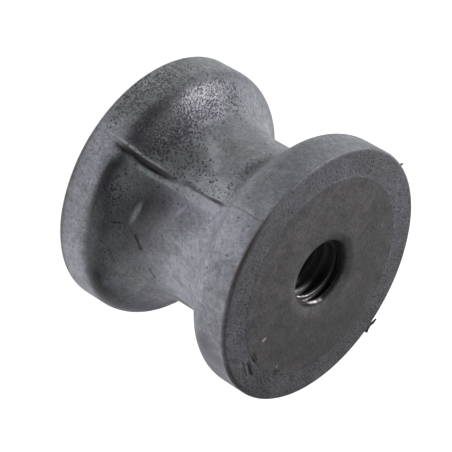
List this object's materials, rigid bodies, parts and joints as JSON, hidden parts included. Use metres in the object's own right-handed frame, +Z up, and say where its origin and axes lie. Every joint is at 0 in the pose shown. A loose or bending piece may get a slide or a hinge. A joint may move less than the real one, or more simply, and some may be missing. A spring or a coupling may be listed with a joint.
{
  "type": "bobbin vibration mount",
  "caption": "Waisted rubber bobbin vibration mount with a bonded steel plate and a blind tapped bush in each end.",
  "frame": {"origin": "centre of the lower plate's outer face, on the mount's axis", "axes": "+Z up the mount's axis from the lower to the upper plate; the mould's parting plane is XZ"},
  "size_m": [0.0305, 0.0302, 0.0252],
  "materials": {
    "rubber": "matt moulded rubber with a grey bloom",
    "primed_plate": "matt bonding primer on steel",
    "bush_steel": "dark primed steel, bare in the thread"
  },
  "bodies": {
    "root": {"rubber_body": "rubber", "upper_plate": "primed_plate", "lower_plate": "primed_plate", "upper_threaded_bush": "bush_steel", "lower_threaded_bush": "bush_steel"}
  },
  "joints": []
}
